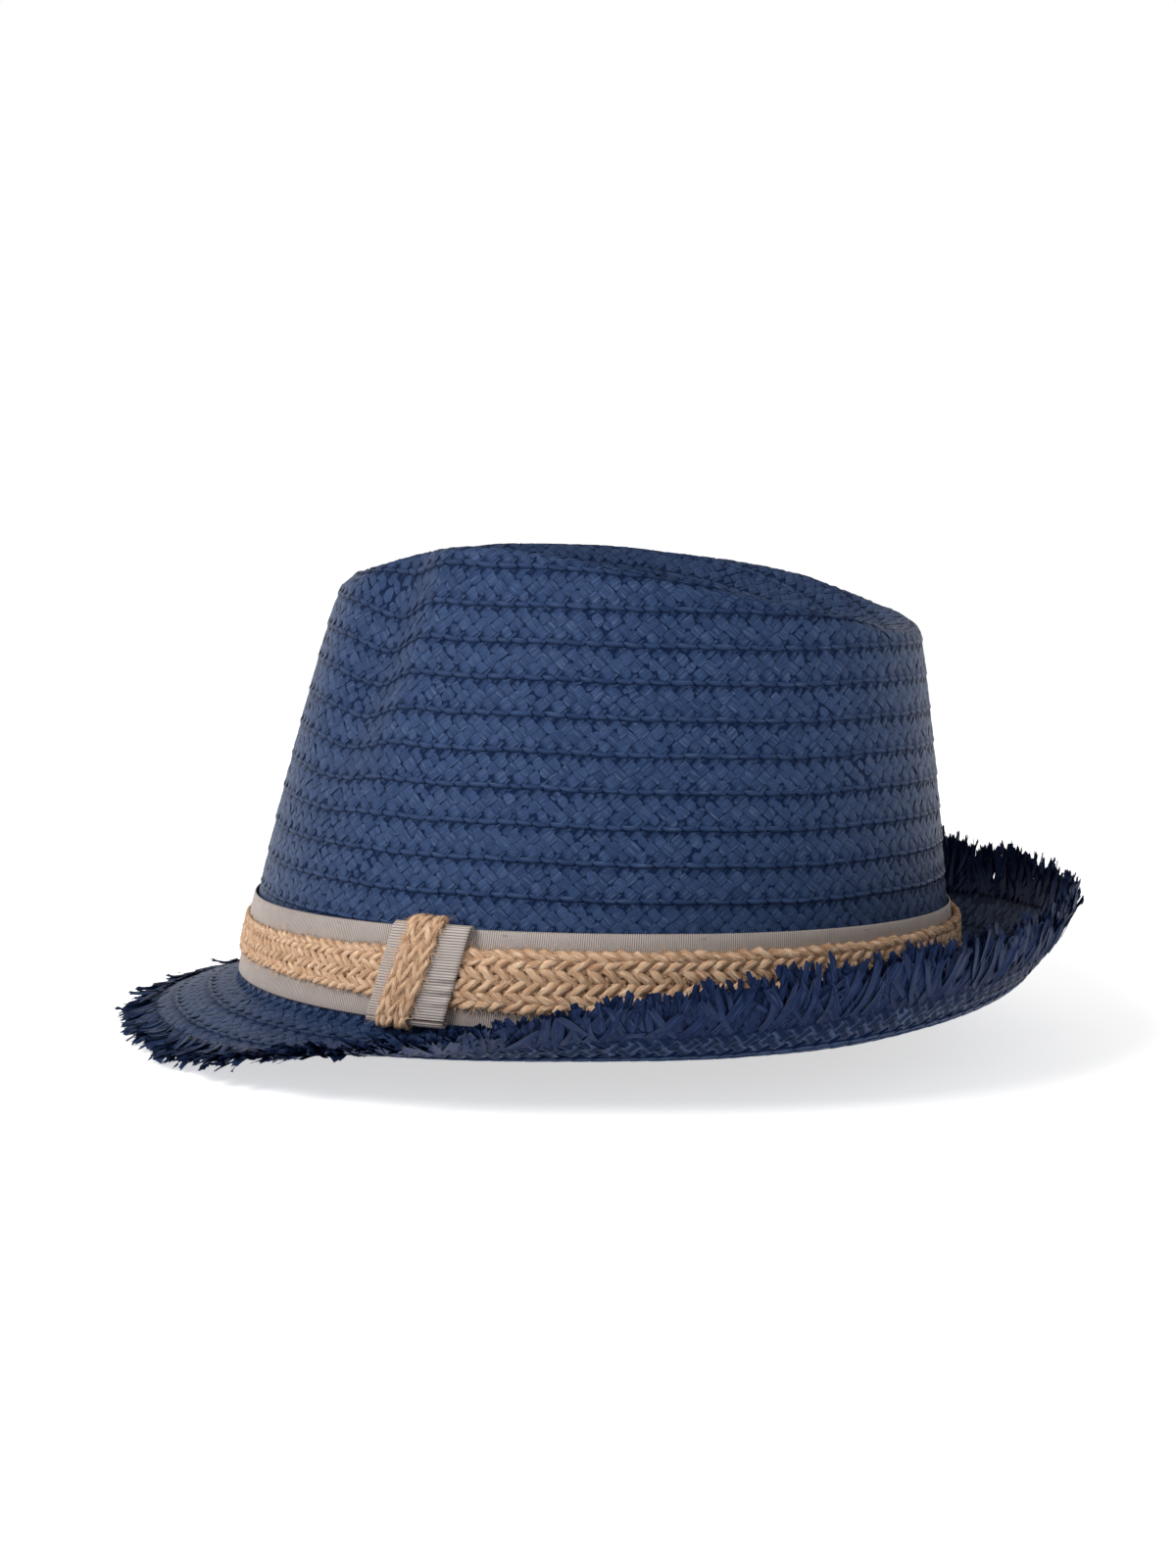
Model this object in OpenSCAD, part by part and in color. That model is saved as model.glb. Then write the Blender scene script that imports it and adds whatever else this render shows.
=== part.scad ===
// Short-brim fedora of sewn paper braid, with a ribbon and jute band, a frayed edge and a sweatband.
// Millimetres. +Z is up, the front of the hat faces -Y and the wearer's left is +X.
// The origin is the centre of the head opening, on the fold between crown and brim.

/* [Head opening] */
// Distance from the origin to the front of the crown's root
front_reach = 105.5; // [100:0.5:110]
// Distance from the origin to the back of the crown's root
back_reach = 102.6; // [98:0.1:108]
// Half the width of the crown's root
half_width = 85; // [81:0.5:89]

/* [Crown] */
// Inward lean of the front wall for each unit of height
lean_front = 0.248; // [0.22:0.002:0.3]
// Inward lean of the back wall for each unit of height
lean_back = 0.115; // [0.08:0.001:0.13]
// Inward lean of the side walls for each unit of height
lean_side = 0.145; // [0.12:0.001:0.17]
// Outward bulge of the wall halfway up
barrel = 1.3; // [0:0.1:3]
// Height that the bulge dies out at
barrel_height = 110; // [100:1:120]
// Height that the whole ridge is raised or lowered by
ridge_lift = 0; // [-6:0.5:6]
// How far the ridge is twisted: high on the wearer's left in front and on the right behind
ridge_twist = 5.2; // [0:0.2:7]
// Height of the teardrop dent's floor before its sag
dent_height = 106; // [102:0.5:108]
// How far behind the origin the dent's floor is centred
dent_back = 8; // [4:0.5:12]
// Sag of the dent's floor between ridge and centre
dent_sag = 7; // [4:0.5:9]
// Softness of the ridge at the sides and back
ridge_soft = 4; // [3.5:0.5:6]
// Extra softness of the ridge at the front
front_soft = 5.5; // [3:0.5:7]
// Angle of each pinch from the front, up at the ridge
pinch_angle = 37.5; // [34:0.5:42]
// Angle that a pinch spreads over
pinch_spread = 10; // [8:0.5:12]
// Depth of each front pinch below the ridge
pinch_depth = 4.5; // [2:0.5:6]
// Drop of the rows inside a pinch
pinch_drop = 5; // [2:0.5:6]
// Height of the hump just behind each pinch
pinch_hump = 1; // [0:0.5:2]
// Rise of the rows just behind each pinch
pinch_rise = 1.3; // [0:0.1:2]

/* [Braid] */
// Width of one row that stays in sight
row_pitch = 9.6; // [9:0.1:10.2]
// Thickness of the braid
braid_t = 1.2; // [0.8:0.1:1.3]
// Depth that each row steps under the row above it
row_step = 1.4; // [1.35:0.05:1.6]
// Part of a row that the row above covers
row_lap = 0.3; // [0.2:0.05:0.35]

/* [Brim] */
// Length of the frayed strands past the last woven row
fringe_length = 12; // [9:0.5:14]
// Part of that length that the short strands lack
fringe_notch = 0.3; // [0.15:0.05:0.5]

/* [Band] */
// Thickness of the grosgrain ribbon
ribbon_t = 0.6; // [0.4:0.1:0.8]
// Thickness of the jute braid
jute_t = 2.3; // [1.6:0.1:2.6]
// Angle of the keeper, measured from the front towards the wearer's left
keeper_angle = 62.5; // [56:0.5:72]
// Turn of the keeper's ribbon tab between its lower and upper end
tab_slant = 2.6; // [0:0.1:4]
// Turn of the keeper's jute wrap between its lower and upper end
wrap_slant = 3.6; // [0:0.1:5]

/* [Inside] */
// Height of the sweatband
sweat_height = 32; // [28:1:36]
// Thickness of the sweatband
sweat_t = 0.8; // [0.5:0.1:1]
// Number of stitches that hold the sweatband
sweat_stitches = 64; // [40:2:80]

/* [Hidden] */
wall_rows = 12;    // rows of full pitch, counted up from the root
crown_rows = 21;   // rows from the root to the middle of the dent
tip_rest = 0.15;   // part of a row left open at the middle of the dent
first_edge = 0.9;  // row at which the lowest spiral edge passes the front
woven_rows = 3;    // brim rows between the root and the fringe
gap = 0.2;         // clearance between layers that lie on each other
thread_t = 0.4;    // thickness of the sewing thread
sunk = 0.2;        // distance between a stitch's middle and the cloth under it
twist_centre = 0.08;   // position between front and back at which the twisted ridge is level
pinch_drift = 0.06;    // degrees that a pinch runs forward for each millimetre down the wall
pinch_top = 118;       // distance up the wall that pinch_angle holds for
hump_away = 13;        // degrees from the middle of a pinch to the middle of the hump behind it
hump_spread = 7;       // degrees that the hump spreads over

// Height of the ridge, against a position that runs from -1 at the front to 1 at the back
ridge_profile = [
    [-1, 119], [-0.92, 124.5], [-0.72, 127.8], [-0.52, 128.3], [-0.27, 127.2],
    [-0.02, 125.2], [0.23, 122], [0.48, 118.8], [0.72, 114], [1, 105.5],
];
// Width of the brim with its fringe, against the angle from the front
brim_width = [[0, 42.5], [85, 41], [105, 44.5], [125, 49], [180, 50]];
// Slope of the brim where it leaves the crown, against the angle from the front
root_slope = [
    [0, -13], [45, -20], [80, -24], [92, -26], [105, -26], [125, -19], [145, -7], [165, 3], [180, 6],
];
// Slope of the brim at its edge: snapped down in front and curled up behind
edge_slope = [
    [0, -26], [33, -24], [48, 8], [60, 40], [70, 50], [80, 70], [92, 90], [105, 93], [125, 92],
    [180, 82],
];
// Upper and lower edge of the ribbon up the wall, against the angle from the front
ribbon_top = [[0, 25.3], [90, 27.8], [180, 25]];
ribbon_foot = [[0, 2.1], [60, 1.4], [180, 1.4]];
// Height of the jute braid, against the angle from the front: it is pulled narrow at the front
jute_height = [[0, 9.7], [25, 10], [60, 13], [75, 15.5], [180, 15.5]];

// Angles that the strips are sampled at, closer together across the two pinches
back_angles = [for (a = [70 : 11 : 180]) a];
pinch_angles = [for (a = [25 : 5 : 65]) a];
half_angles = concat(pinch_angles, back_angles);
angles = concat(
    [for (i = [len(half_angles) - 1 : -1 : 0]) -half_angles[i]],
    [for (a = [-16 : 8 : 16]) a],
    half_angles
);
ring_angles = [for (i = [0 : len(angles) - 2]) angles[i]];

spiral_turns = crown_rows - 1;
crown_names = [for (k = [1 : spiral_turns]) str("crown_turn_", k < 10 ? "0" : "", k)];
brim_names = [for (k = [1 : woven_rows]) str("brim_turn_", k)];

// --- Shape of the hat -------------------------------------------------------------------------

function ramp(a, b, x) = let (t = max(0, min(1, (x - a) / (b - a)))) t * t * (3 - 2 * t);

// A table read with its corners rounded over a reach on both sides
function eased(x, table, reach) = (
    lookup(x - reach, table) + 2 * lookup(x - reach / 2, table) + 2 * lookup(x, table)
    + 2 * lookup(x + reach / 2, table) + lookup(x + reach, table)
) / 8;

// Angle from the front, the same on both sides of the hat
function from_front(phi) = abs(atan2(sin(phi), cos(phi)));

function bulge(z) = 4 * barrel * (z / barrel_height) * (1 - z / barrel_height);

// Point of the plain wall at an angle and a height
function wall(phi, z) = let (
    front = front_reach - lean_front * z + bulge(z),
    back = back_reach - lean_back * z + bulge(z),
    half = half_width - lean_side * z + bulge(z)
) [half * sin(phi), (back - front) / 2 - cos(phi) * (back + front) / 2, z];

function lean(phi) = lean_side
    + (lean_front - lean_side) * pow(max(0, cos(phi)), 2)
    - (lean_side - lean_back) * pow(max(0, -cos(phi)), 2);

// One meridian: its ridge point, the length of its wall and the length from ridge to dent centre
function meridian(phi) = let (
    twist = ridge_twist * sin(phi) * (twist_centre - cos(phi)),
    top = eased(-cos(phi), ridge_profile, 0.12) - twist + ridge_lift,
    ridge = wall(phi, top),
    run = norm([ridge.x, ridge.y - dent_back, top - dent_height])
) [ridge, top * sqrt(1 + pow(lean(phi), 2)), 1.03 * run + 4];

// Point at a distance up a meridian, with a sharp ridge
function sharp_point(phi, m, d) = d < m[1]
    ? wall(phi, m[0].z * d / m[1])
    : let (s = min(1, (d - m[1]) / m[2])) [
        m[0].x * (1 - s),
        m[0].y + (dent_back - m[0].y) * s,
        dent_height + (m[0].z - dent_height) * pow(1 - s, 2) - 4 * dent_sag * s * (1 - s),
    ];

// Distance up a meridian of a row's edge: full pitch on the wall, even shares inside the dent
function row_distance(m, n) = n < wall_rows
    ? n * row_pitch
    : wall_rows * row_pitch
        + (m[1] + m[2] - wall_rows * row_pitch) * (n - wall_rows) / (crown_rows - wall_rows);

// Crown surface at an angle and a row number, with a rounded ridge and the two front pinches
function crown(phi, n) = let (
    m = meridian(phi),
    d = row_distance(m, n),
    soft = min(ridge_soft + front_soft * ramp(0.45, 0.95, cos(phi)), (m[1] + m[2] - d) / 1.5),
    p = (sharp_point(phi, m, d - 1.5 * soft) + 3 * sharp_point(phi, m, d - 0.75 * soft)
        + 4 * sharp_point(phi, m, d) + 3 * sharp_point(phi, m, d + 0.75 * soft)
        + sharp_point(phi, m, d + 1.5 * soft)) / 12,
    away = from_front(phi) - pinch_angle + pinch_drift * (pinch_top - max(60, min(125, d))),
    across = exp(-pow(away / pinch_spread, 2)),
    behind = exp(-pow((away - hump_away) / hump_spread, 2)),
    push = (pinch_depth * across - pinch_hump * behind)
        * ramp(50, 108, d) * (1 - ramp(m[1] - 14, m[1] + 20, d)),
    drop = (pinch_drop * across - pinch_rise * behind)
        * ramp(40, 104, d) * (1 - ramp(m[1] - 14, m[1] + 1, d))
) p - [push * sin(phi), -push * cos(phi), drop];

// Brim surface at an angle and a distance out from the root: one arc for each angle
function brim(phi, w) = let (
    a = from_front(phi),
    start = eased(a, root_slope, 8),
    turn = eased(a, edge_slope, 8) - start,
    rate = (abs(turn) < 0.1 ? 0.1 : turn) / eased(a, brim_width, 8),
    radius = 180 / PI / rate,
    out = radius * (sin(start + rate * w) - sin(start)),
    up = -radius * (cos(start + rate * w) - cos(start)),
    root = wall(phi, 0),
    aim = [(front_reach + back_reach) / 2 * sin(phi), -half_width * cos(phi), 0]
) root + out * aim / norm(aim) + [0, 0, up];

// Distance out along the brim of row number -n: woven rows first, then the fringe
function brim_distance(phi, n) = let (
    woven = eased(from_front(phi), brim_width, 8) - fringe_length
) -n < woven_rows ? -n * woven / woven_rows : woven + (-n - woven_rows) * fringe_length;

function hat_point(phi, n) = n >= 0 ? crown(phi, n) : brim(phi, brim_distance(phi, n));

// Point that lies off the surface, outwards on the crown and upwards on the brim
function off_hat(phi, n, off) = let (
    p = hat_point(phi, n),
    side = hat_point(phi + 0.5, n) - p,
    up = hat_point(phi, n + 0.05) - hat_point(phi, n - 0.05),
    normal = cross(side, up)
) p + off * normal / norm(normal);

// Point off the wall at a distance up it, for what lies along the wall and runs past its foot
function off_wall(phi, d, off) = let (
    p = crown(phi, d / row_pitch),
    side = crown(phi + 0.5, d / row_pitch) - p,
    up = crown(phi, d / row_pitch + 0.05) - p,
    normal = cross(side, up)
) p + off * normal / norm(normal);

// Lower edge of a spiral turn: it climbs one row in each trip round the hat
function spiral_edge(k, phi) = k - 1 + first_edge - phi / 360;

// --- Building blocks --------------------------------------------------------------------------

// Solid between two lists of points in each section, closed in a ring or capped at its ends
module strip(outer, inner, ring) {
    count = len(outer);
    m = len(outer[0]);
    loop = [for (i = [0 : count - 1]) concat(outer[i], [for (j = [m - 1 : -1 : 0]) inner[i][j]])];
    sides = [
        for (i = [0 : ring ? count - 1 : count - 2], j = [0 : 2 * m - 1])
        let (
            a = i * 2 * m + j,
            b = i * 2 * m + (j + 1) % (2 * m),
            c = ((i + 1) % count) * 2 * m + (j + 1) % (2 * m),
            d = ((i + 1) % count) * 2 * m + j
        )
        each [[a, b, c], [a, c, d]]
    ];
    last = (count - 1) * 2 * m;
    caps = ring ? [] : [
        for (j = [0 : m - 2])
        let (k = 2 * m - 1 - j)
        each [
            [j, k, j + 1], [j + 1, k, k - 1],
            [last + j, last + j + 1, last + k], [last + j + 1, last + k - 1, last + k],
        ]
    ];
    polyhedron([for (s = loop) each s], concat(sides, caps));
}

// Sheet on the hat: for each angle a list of [row number, offset], and its thickness inwards
module sheet(stations, section, thick, ring) {
    strip(
        [for (a = stations) [for (q = section(a)) off_hat(a, q[0], q[1])]],
        [for (a = stations) [for (q = section(a)) off_hat(a, q[0], q[1] - thick)]],
        ring
    );
}

// Band on the wall: for each angle a list of distances up it, and its thickness inwards
module band(stations, heights, off, thick, ring) {
    strip(
        [for (a = stations) [for (d = heights(a)) off_wall(a, d, off)]],
        [for (a = stations) [for (d = heights(a)) off_wall(a, d, off - thick)]],
        ring
    );
}

// Section of one braid row from its free edge to its covered edge, a few points across
function row_section(edge, covered, columns) = [
    for (j = [0 : columns - 1])
    let (n = edge + (covered - edge) * j / (columns - 1))
    [n, -row_step * (n - edge)]
];

// Short straight stitch, laid along the hat at an angle, a distance up and an offset
module stitch(phi, d, off, length) {
    here = off_wall(phi, d, off);
    ahead = off_wall(phi + 1, d, off) - here;
    translate(here)
        rotate([0, 0, atan2(ahead.y, ahead.x)])
            cube([length, thread_t, thread_t], center = true);
}

// --- Sub-parts --------------------------------------------------------------------------------

module crown_turn(k) {
    // Rows that cross the ridge take more points, to follow its curve
    columns = k > 9 && k < 16 ? 4 : 3;
    // The small turns in the middle of the dent need fewer angles
    thinning = k > 18 ? 4 : k > 15 ? 2 : 1;
    last = crown_rows - tip_rest;
    color([0.13, 0.19, 0.36])
        sheet(
            [for (i = [0 : thinning : len(angles) - 1]) angles[i]],
            function (a) let (edge = spiral_edge(k, a))
                row_section(edge, k == spiral_turns ? last : min(last, edge + 1 + row_lap), columns),
            braid_t, false
        );
}

// Closed row at the foot of the wall, which the lowest spiral turn laps over
module crown_root_turn() {
    color([0.13, 0.19, 0.36])
        sheet(
            ring_angles,
            function (a) let (edge = spiral_edge(1, a))
                [[0, 0], [edge, -row_step], [edge + row_lap, -row_step * (1 + row_lap)]],
            braid_t, true
        );
}

module brim_turn(k) {
    // The first brim row turns up inside the crown, under the root row
    columns = k == 1 ? 4 : 3;
    color([0.11, 0.17, 0.33])
        sheet(ring_angles, function (a) row_section(-k, 1 - k + row_lap, columns), braid_t, true);
}

module fringe_edge() {
    tooth = 3;
    color([0.08, 0.13, 0.28])
        sheet(
            [for (a = [-180 : tooth : 180 - tooth]) a],
            function (a) row_section(
                -woven_rows - 1 + fringe_notch * abs(a / tooth % 2), row_lap - woven_rows, 3
            ),
            braid_t, true
        );
}

ribbon_off = gap + ribbon_t;
jute_off = ribbon_off + gap + jute_t;
tab_off = jute_off + gap + ribbon_t;
wrap_t = 1.6;       // one layer of the narrower jute strip
wrap_off = tab_off + gap + wrap_t;
tab_half = 6.4;     // half the width of the tab, in degrees round the hat
wrap_half = 3;      // half the width of the jute wrap, in degrees round the hat

// Distance up the wall of the ribbon's lower and upper edge
function foot_at(phi) = eased(from_front(phi), ribbon_foot, 20);
function top_at(phi) = eased(from_front(phi), ribbon_top, 20);

module hatband_ribbon() {
    color([0.70, 0.65, 0.59])
        band(
            ring_angles,
            function (a) [foot_at(a), (foot_at(a) + top_at(a)) / 2, top_at(a)],
            ribbon_off, ribbon_t, true
        );
}

module hatband_jute_braid() {
    color([0.76, 0.59, 0.42])
        band(
            ring_angles,
            function (a) let (
                middle = (foot_at(a) + top_at(a)) / 2,
                half = eased(from_front(a), jute_height, 6) / 2
            ) [middle - half, middle, middle + half],
            jute_off, jute_t, true
        );
}

// Strap over the band from below its foot to above its top, with both ends turned in behind it
module strap(middle, half, turn, foot, top, off, thick) {
    stations = [for (i = [-2 : 2]) middle + half * i / 2];
    turned_in = gap + 0.2;
    outer = [[foot, turned_in], [foot, off], [top, off], [top, turned_in]];
    inner = [
        [foot + thick, turned_in], [foot + thick, off - thick],
        [top - thick, off - thick], [top - thick, turned_in],
    ];
    slant = function (d) turn * ((d - foot) / (top - foot) - 0.5);
    strip(
        [for (a = stations) [for (q = outer) off_wall(a + slant(q[0]), q[0], q[1])]],
        [for (a = stations) [for (q = inner) off_wall(a + slant(q[0]), q[0], q[1])]],
        false
    );
}

module keeper_ribbon_tab() {
    color([0.71, 0.67, 0.61])
        strap(keeper_angle, tab_half, tab_slant, 0.5, 28.8, tab_off, ribbon_t);
}

// The wrap is narrower than the tab and sits towards its front edge
module keeper_jute_wrap() {
    color([0.78, 0.61, 0.43])
        strap(keeper_angle - 1.1, wrap_half, wrap_slant, -0.3, 30.6, wrap_off, wrap_t);
}

sweat_off = -row_step * (1 + row_lap) - braid_t - gap;

module sweatband() {
    hem = 1;
    color([0.10, 0.13, 0.22])
        band(
            ring_angles, function (a) [hem, (hem + sweat_height) / 2, sweat_height],
            sweat_off, sweat_t, true
        );
}

// Patch inside the sweatband between two angles and two distances up the wall
module patch(span, rise, thick) {
    stations = [for (i = [0 : 3]) span[0] + (span[1] - span[0]) * i / 3];
    band(stations, function (a) rise, sweat_off - sweat_t - gap, thick, false);
}

module sweatband_seam_tape() {
    color([0.08, 0.10, 0.18]) patch([176.5, 183.5], [2, 31], 0.6);
}

module size_label() {
    color([0.85, 0.83, 0.78]) patch([190, 207], [10, 24], 0.5);
}

module sweatband_stitches() {
    height = 3.2;
    length = 4.2;
    color([0.55, 0.52, 0.50])
        for (i = [0 : sweat_stitches - 1])
            stitch((i + 0.5) * 360 / sweat_stitches, height, sweat_off - sweat_t - sunk, length);
}

module band_tack_stitches() {
    below_top = 1.2;
    length = 2.4;
    color([0.60, 0.55, 0.50])
        for (a = [15 : 30 : 345])
            stitch(a, top_at(a) - below_top, ribbon_off + sunk, length);
}

for (k = [1 : spiral_turns])
    crown_turn(k);
crown_root_turn();
for (k = [1 : woven_rows])
    brim_turn(k);
fringe_edge();
hatband_ribbon();
hatband_jute_braid();
keeper_ribbon_tab();
keeper_jute_wrap();
sweatband();
sweatband_seam_tape();
size_label();
sweatband_stitches();
band_tack_stitches();
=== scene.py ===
"""Visual model of a short-brim fedora: plaited paper braid, frayed edge, ribbon and jute, sweatband."""

import math

import bpy
import numpy as np
from mathutils import Matrix, Vector


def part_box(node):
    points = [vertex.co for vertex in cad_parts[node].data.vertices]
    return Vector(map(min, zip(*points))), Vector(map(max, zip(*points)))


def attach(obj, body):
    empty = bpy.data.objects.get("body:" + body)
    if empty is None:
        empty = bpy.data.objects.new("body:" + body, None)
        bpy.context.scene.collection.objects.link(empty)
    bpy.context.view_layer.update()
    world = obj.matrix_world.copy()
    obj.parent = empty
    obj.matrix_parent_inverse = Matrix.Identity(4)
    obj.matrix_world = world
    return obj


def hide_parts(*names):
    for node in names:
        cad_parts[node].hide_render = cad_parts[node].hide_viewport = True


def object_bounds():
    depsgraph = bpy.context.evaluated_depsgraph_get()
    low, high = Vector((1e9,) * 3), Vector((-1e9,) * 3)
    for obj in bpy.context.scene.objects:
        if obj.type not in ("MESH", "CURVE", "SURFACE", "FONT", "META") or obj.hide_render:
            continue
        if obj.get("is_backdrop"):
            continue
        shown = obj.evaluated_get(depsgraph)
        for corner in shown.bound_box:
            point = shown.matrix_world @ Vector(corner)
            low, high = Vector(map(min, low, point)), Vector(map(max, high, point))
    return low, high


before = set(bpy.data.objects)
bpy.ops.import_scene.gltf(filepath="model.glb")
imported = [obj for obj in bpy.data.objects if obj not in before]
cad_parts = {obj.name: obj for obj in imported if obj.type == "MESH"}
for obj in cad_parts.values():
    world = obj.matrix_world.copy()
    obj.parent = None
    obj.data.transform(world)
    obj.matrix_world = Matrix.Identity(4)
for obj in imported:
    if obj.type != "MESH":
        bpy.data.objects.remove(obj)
CAD_BOX = [[float(x) for x in corner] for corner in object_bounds()]
rng = np.random.default_rng(7)

# --- Shape of the hat, in millimetres: the same formulas as the frame's solids ------------------

MM = 0.001
root_low, root_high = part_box("crown_root_turn")
HALF_WIDTH = root_high[0] / MM
FRONT_REACH = -root_low[1] / MM
BACK_REACH = root_high[1] / MM

LEAN_FRONT, LEAN_BACK, LEAN_SIDE = 0.248, 0.115, 0.145
BARREL, BARREL_HEIGHT = 1.3, 110.0
DENT_HEIGHT, DENT_BACK, DENT_SAG = 106.0, 8.0, 7.0
DENT_STRETCH, DENT_EXTRA = 1.03, 4.0         # the dent's curve is longer than its chord
RIDGE_SOFT, FRONT_SOFT = 4.0, 5.5
RIDGE_TWIST, TWIST_CENTRE = 5.2, 0.08
PINCH_DEPTH, PINCH_DROP, PINCH_HUMP, PINCH_RISE = 4.5, 5.0, 1.0, 1.3
PINCH_AT, PINCH_WIDTH = 37.5, 10.0
PINCH_DRIFT, PINCH_TOP = 0.06, 118           # lower down, the pinch lies nearer the front
PINCH_LOWEST, PINCH_HIGHEST = 60, 125        # between these distances up the wall
HUMP_AWAY, HUMP_WIDTH = 13, 7
# Where the push and the drop grow, as distances up the wall, and where they end, from the ridge
PUSH_GROWS, PUSH_ENDS = (50, 108), (-14, 20)
DROP_GROWS, DROP_ENDS = (40, 104), (-14, 1)
ROW_PITCH, WALL_ROWS, CROWN_ROWS, WOVEN_ROWS = 9.6, 12, 21, 3
SPIRAL_TURNS = CROWN_ROWS - 1
BRAID_T, TIP_REST = 1.2, 0.15
FRINGE_LENGTH = 12.0
TABLE_REACH = 8                              # degrees over which the brim's stations are eased
BAND_REACH = 20                              # and the ribbon's

# Stations round the hat: a position or an angle from the front, and the value there
RIDGE = [[-1, 119], [-0.92, 124.5], [-0.72, 127.8], [-0.52, 128.3], [-0.27, 127.2],
         [-0.02, 125.2], [0.23, 122], [0.48, 118.8], [0.72, 114], [1, 105.5]]
BRIM_WIDTH = [[0, 42.5], [85, 41], [105, 44.5], [125, 49], [180, 50]]
ROOT_SLOPE = [[0, -13], [45, -20], [80, -24], [92, -26], [105, -26], [125, -19], [145, -7],
              [165, 3], [180, 6]]
EDGE_SLOPE = [[0, -26], [33, -24], [48, 8], [60, 40], [70, 50], [80, 70], [92, 90], [105, 93],
              [125, 92], [180, 82]]
RIBBON_TOP = [[0, 25.3], [90, 27.8], [180, 25]]
RIBBON_FOOT = [[0, 2.1], [60, 1.4], [180, 1.4]]
JUTE_HEIGHT = [[0, 9.7], [25, 10], [60, 13], [75, 15.5], [180, 15.5]]


def ramp(a, b, x):
    """Smooth step from 0 at a to 1 at b."""
    t = np.clip((x - a) / (b - a), 0, 1)
    return t * t * (3 - 2 * t)


def eased(x, table, reach):
    """A table read with its corners rounded over a reach on both sides."""
    xs, ys = np.array(table, float).T

    def read(q):
        return np.interp(q, xs, ys)

    return (read(x - reach) + 2 * read(x - reach / 2) + 2 * read(x)
            + 2 * read(x + reach / 2) + read(x + reach)) / 8


def from_front(phi):
    """Degrees from the front, the same on both sides."""
    return np.abs(np.degrees(np.arctan2(np.sin(np.radians(phi)), np.cos(np.radians(phi)))))


def wall(phi, z):
    """The crown's upright wall, without its pinches, at an angle and a height."""
    bulge = 4 * BARREL * (z / BARREL_HEIGHT) * (1 - z / BARREL_HEIGHT)
    front = FRONT_REACH - LEAN_FRONT * z + bulge
    back = BACK_REACH - LEAN_BACK * z + bulge
    half = HALF_WIDTH - LEAN_SIDE * z + bulge
    c, s = np.cos(np.radians(phi)), np.sin(np.radians(phi))
    return np.stack([half * s, (back - front) / 2 - c * (back + front) / 2, z], -1)


def meridian(phi):
    """Ridge point, length of the wall and length from ridge to dent centre, for each angle."""
    c = np.cos(np.radians(phi))
    top = eased(-c, RIDGE, 0.12) - RIDGE_TWIST * np.sin(np.radians(phi)) * (TWIST_CENTRE - c)
    ridge = wall(phi, top)
    lean = (LEAN_SIDE + (LEAN_FRONT - LEAN_SIDE) * np.maximum(0, c) ** 2
            - (LEAN_SIDE - LEAN_BACK) * np.maximum(0, -c) ** 2)
    run = np.sqrt(ridge[..., 0] ** 2 + (ridge[..., 1] - DENT_BACK) ** 2 + (top - DENT_HEIGHT) ** 2)
    return ridge, top * np.sqrt(1 + lean ** 2), DENT_STRETCH * run + DENT_EXTRA


def sharp_point(phi, ridge, rise, run, d):
    """Wall and dent with a sharp ridge between them, at a distance up from the root."""
    low = wall(phi, ridge[..., 2] * np.minimum(d / rise, 1))
    s = np.clip((d - rise) / run, 0, 1)
    high = np.stack([
        ridge[..., 0] * (1 - s),
        ridge[..., 1] + (DENT_BACK - ridge[..., 1]) * s,
        DENT_HEIGHT + (ridge[..., 2] - DENT_HEIGHT) * (1 - s) ** 2 - 4 * DENT_SAG * s * (1 - s),
    ], -1)
    return np.where((d < rise)[..., None], low, high)


def crown(phi, n):
    """Crown surface at an angle and a row number."""
    phi, n = np.broadcast_arrays(np.asarray(phi, float), np.asarray(n, float))
    ridge, rise, run = meridian(phi)
    full = WALL_ROWS * ROW_PITCH
    d = np.where(n < WALL_ROWS, n * ROW_PITCH,
                 full + (rise + run - full) * (n - WALL_ROWS) / (CROWN_ROWS - WALL_ROWS))
    soft = RIDGE_SOFT + FRONT_SOFT * ramp(0.45, 0.95, np.cos(np.radians(phi)))
    soft = np.minimum(soft, (rise + run - d) / 1.5)
    p = sum(weight * sharp_point(phi, ridge, rise, run, d + tap * soft)
            for tap, weight in ((-1.5, 1), (-0.75, 3), (0, 4), (0.75, 3), (1.5, 1))) / 12
    drift = PINCH_DRIFT * (PINCH_TOP - np.clip(d, PINCH_LOWEST, PINCH_HIGHEST))
    away = from_front(phi) - PINCH_AT + drift
    across = np.exp(-(away / PINCH_WIDTH) ** 2)
    behind = np.exp(-((away - HUMP_AWAY) / HUMP_WIDTH) ** 2)
    push = (PINCH_DEPTH * across - PINCH_HUMP * behind) * ramp(*PUSH_GROWS, d)
    push = push * (1 - ramp(*PUSH_ENDS, d - rise))
    drop = (PINCH_DROP * across - PINCH_RISE * behind) * ramp(*DROP_GROWS, d)
    drop = drop * (1 - ramp(*DROP_ENDS, d - rise))
    a = np.radians(phi)
    return p - np.stack([push * np.sin(a), -push * np.cos(a), drop], -1)


LEAST_TURN = 0.002     # radians; a brim that doesn't bend at all would divide by zero


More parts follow.
